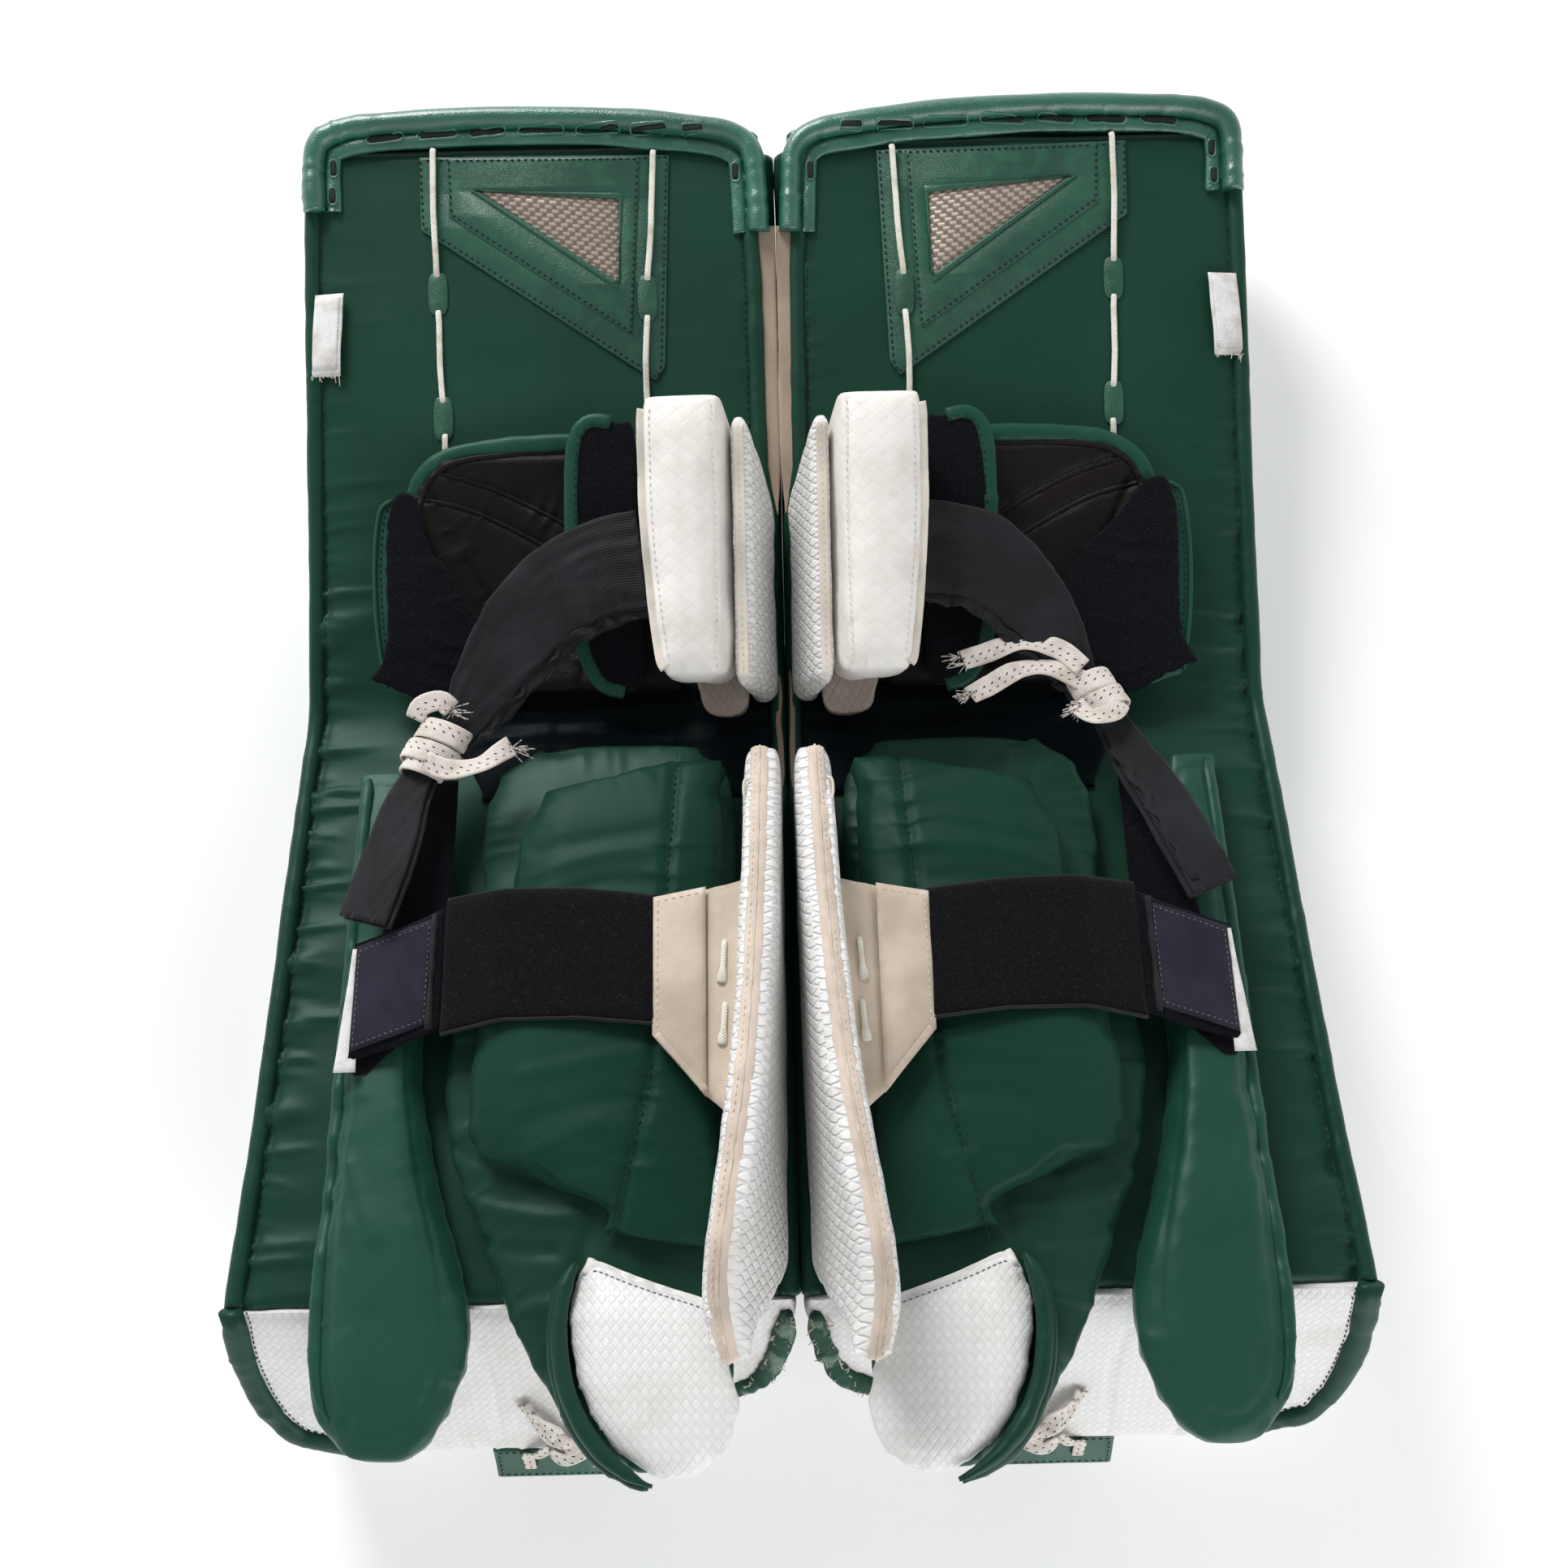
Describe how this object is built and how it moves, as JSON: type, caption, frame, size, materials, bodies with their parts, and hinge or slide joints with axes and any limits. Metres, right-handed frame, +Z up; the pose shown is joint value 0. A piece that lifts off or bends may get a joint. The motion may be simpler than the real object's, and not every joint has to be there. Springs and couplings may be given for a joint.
{
  "type": "goalie leg pads",
  "caption": "Ice hockey goalie leg pads lying face down, with knee stacks and flaps, calf wings, wraps and straps, tall calf landings and boot sections.",
  "frame": {"origin": "bottom centre of the bounding box of the pair, on the floor plane", "axes": "+Y towards the thigh end along the pads, +X towards the right-leg pad, +Z up from the floor that the pads lie on, face down"},
  "size_m": [0.5956, 0.7964, 0.252],
  "materials": {
    "green_nylon": "satin woven nylon with pulled wrinkles",
    "cuff_leather": "glossy synthetic leather",
    "face_leather": "smooth synthetic leather",
    "white_weave": "embossed weave pattern, slightly scuffed",
    "loop_black": "fuzzy loop fabric",
    "liner_dark": "smooth lining fabric",
    "elastic_black": "ribbed elastic webbing",
    "weave_silver": "twill weave under clear film",
    "lace_white": "flat braided lace with dark flecks",
    "tab_beige": "smooth coated strap material",
    "tag_white": "plain woven label"
  },
  "bodies": {
    "left_thigh": {"left_thigh_core": "green_nylon", "left_thigh_face": "face_leather", "left_top_cuff": "cuff_leather", "left_thigh_patch": "cuff_leather", "left_weave_insert": "weave_silver", "left_outer_lace": "lace_white", "left_inner_lace": "lace_white", "left_edge_tag": "tag_white", "left_knee_liner": "liner_dark", "left_elastic_upper": "elastic_black"},
    "left_stack": {"left_knee_block": "white_weave", "left_knee_wedge": "white_weave"},
    "left_outer_flap": {"left_outer_knee_flap": "loop_black"},
    "left_inner_flap": {"left_inner_knee_flap": "loop_black"},
    "left_shin": {"left_shin_core": "green_nylon", "left_shin_face": "face_leather", "left_lace_knot": "lace_white", "left_elastic_lower": "elastic_black"},
    "left_wing": {"left_outer_wing": "green_nylon"},
    "left_wrap": {"left_wrap_lower": "green_nylon", "left_wrap_upper": "green_nylon", "left_ankle_guard": "white_weave"},
    "left_strap": {"left_strap_tab": "tab_beige", "left_calf_strap": "loop_black", "left_strap_end": "loop_black"},
    "left_landing": {"left_calf_landing": "white_weave"},
    "left_boot": {"left_boot_core": "white_weave", "left_boot_face": "face_leather", "left_toe_lace": "lace_white"},
    "left_toe": {"left_toe_bridge": "cuff_leather"},
    "right_thigh": {"right_thigh_core": "green_nylon", "right_thigh_face": "face_leather", "right_top_cuff": "cuff_leather", "right_thigh_patch": "cuff_leather", "right_weave_insert": "weave_silver", "right_outer_lace": "lace_white", "right_inner_lace": "lace_white", "right_edge_tag": "tag_white", "right_knee_liner": "liner_dark", "right_elastic_upper": "elastic_black"},
    "right_stack": {"right_knee_block": "white_weave", "right_knee_wedge": "white_weave"},
    "right_outer_flap": {"right_outer_knee_flap": "loop_black"},
    "right_inner_flap": {"right_inner_knee_flap": "loop_black"},
    "right_shin": {"right_shin_core": "green_nylon", "right_shin_face": "face_leather", "right_lace_knot": "lace_white", "right_elastic_lower": "elastic_black"},
    "right_wing": {"right_outer_wing": "green_nylon"},
    "right_wrap": {"right_wrap_lower": "green_nylon", "right_wrap_upper": "green_nylon", "right_ankle_guard": "white_weave"},
    "right_strap": {"right_strap_tab": "tab_beige", "right_calf_strap": "loop_black", "right_strap_end": "loop_black"},
    "right_landing": {"right_calf_landing": "white_weave"},
    "right_boot": {"right_boot_core": "white_weave", "right_boot_face": "face_leather", "right_toe_lace": "lace_white"},
    "right_toe": {"right_toe_bridge": "cuff_leather"}
  },
  "joints": [
    {"name": "left_knee_flex", "type": "hinge", "parent": "left_shin", "child": "left_thigh", "pos_m": [-0.14, 0.0408, 0.062], "axis": [1, 0, 0], "range_deg": [-14, 12], "stiffness_Nm_per_rad": 60, "deforming": ["left_elastic_upper"]},
    {"name": "left_boot_flex", "type": "hinge", "parent": "left_shin", "child": "left_boot", "pos_m": [-0.145, -0.28619, 0.14253], "axis": [-1, 0, 0], "range_deg": [-8, 15], "stiffness_Nm_per_rad": 60},
    {"name": "left_stack_tilt", "type": "hinge", "parent": "left_thigh", "child": "left_stack", "pos_m": [-0.055, 0.12462, 0.07431], "axis": [0, -0.9903, -0.1392], "range_deg": [0, 6], "stiffness_Nm_per_rad": 8},
    {"name": "left_outer_flap_open", "type": "hinge", "parent": "left_thigh", "child": "left_outer_flap", "pos_m": [-0.237, 0.09827, 0.08221], "axis": [0, -0.9903, -0.1392], "range_deg": [0, 60]},
    {"name": "left_inner_flap_open", "type": "hinge", "parent": "left_thigh", "child": "left_inner_flap", "pos_m": [-0.082, 0.11965, 0.09532], "axis": [0, 0.9903, 0.1392], "range_deg": [0, 40]},
    {"name": "left_wing_open", "type": "hinge", "parent": "left_shin", "child": "left_wing", "pos_m": [-0.246, -0.16745, 0.11347], "axis": [0, -0.9703, 0.2419], "range_deg": [0, 50], "deforming": ["left_elastic_lower"]},
    {"name": "left_wrap_open", "type": "hinge", "parent": "left_shin", "child": "left_wrap", "pos_m": [-0.044, -0.11812, 0.146], "axis": [0, 0.9703, -0.2419], "range_deg": [0, 32]},
    {"name": "left_strap_open", "type": "hinge", "parent": "left_wrap", "child": "left_strap", "pos_m": [-0.044, -0.114, 0.16249], "axis": [0, 0.9703, -0.2419], "range_deg": [0, 45]},
    {"name": "left_landing_flex", "type": "hinge", "parent": "left_shin", "child": "left_landing", "pos_m": [-0.0215, -0.16721, 0.11444], "axis": [0, -0.9703, 0.2419], "range_deg": [0, 6], "stiffness_Nm_per_rad": 8},
    {"name": "left_toe_swing", "type": "hinge", "parent": "left_boot", "child": "left_toe", "pos_m": [-0.136, -0.37749, 0.04955], "axis": [-1, 0, 0], "range_deg": [-20, 20], "stiffness_Nm_per_rad": 0.5},
    {"name": "right_knee_flex", "type": "hinge", "parent": "right_shin", "child": "right_thigh", "pos_m": [0.14, 0.0408, 0.062], "axis": [1, 0, 0], "range_deg": [-14, 12], "stiffness_Nm_per_rad": 60, "deforming": ["right_elastic_upper"]},
    {"name": "right_boot_flex", "type": "hinge", "parent": "right_shin", "child": "right_boot", "pos_m": [0.145, -0.28619, 0.14253], "axis": [-1, 0, 0], "range_deg": [-8, 15], "stiffness_Nm_per_rad": 60},
    {"name": "right_stack_tilt", "type": "hinge", "parent": "right_thigh", "child": "right_stack", "pos_m": [0.055, 0.12462, 0.07431], "axis": [0, 0.9903, 0.1392], "range_deg": [0, 6], "stiffness_Nm_per_rad": 8},
    {"name": "right_outer_flap_open", "type": "hinge", "parent": "right_thigh", "child": "right_outer_flap", "pos_m": [0.237, 0.09827, 0.08221], "axis": [0, 0.9903, 0.1392], "range_deg": [0, 60]},
    {"name": "right_inner_flap_open", "type": "hinge", "parent": "right_thigh", "child": "right_inner_flap", "pos_m": [0.082, 0.11965, 0.09532], "axis": [0, -0.9903, -0.1392], "range_deg": [0, 40]},
    {"name": "right_wing_open", "type": "hinge", "parent": "right_shin", "child": "right_wing", "pos_m": [0.246, -0.16745, 0.11347], "axis": [0, 0.9703, -0.2419], "range_deg": [0, 50], "deforming": ["right_elastic_lower"]},
    {"name": "right_wrap_open", "type": "hinge", "parent": "right_shin", "child": "right_wrap", "pos_m": [0.044, -0.11812, 0.146], "axis": [0, -0.9703, 0.2419], "range_deg": [0, 32]},
    {"name": "right_strap_open", "type": "hinge", "parent": "right_wrap", "child": "right_strap", "pos_m": [0.044, -0.114, 0.16249], "axis": [0, -0.9703, 0.2419], "range_deg": [0, 45]},
    {"name": "right_landing_flex", "type": "hinge", "parent": "right_shin", "child": "right_landing", "pos_m": [0.0215, -0.16721, 0.11444], "axis": [0, 0.9703, -0.2419], "range_deg": [0, 6], "stiffness_Nm_per_rad": 8},
    {"name": "right_toe_swing", "type": "hinge", "parent": "right_boot", "child": "right_toe", "pos_m": [0.136, -0.37749, 0.04955], "axis": [-1, 0, 0], "range_deg": [-20, 20], "stiffness_Nm_per_rad": 0.5},
    {"name": "pad_slide", "type": "slide", "parent": "left_shin", "child": "right_shin", "axis": [1, 0, 0], "range_m": [0, 0.25]}
  ],
  "couplings": [
    {"joint": "left_wing_open", "follows": "left_strap_open", "ratio": 1.1},
    {"joint": "right_wing_open", "follows": "right_strap_open", "ratio": 1.1}
  ]
}
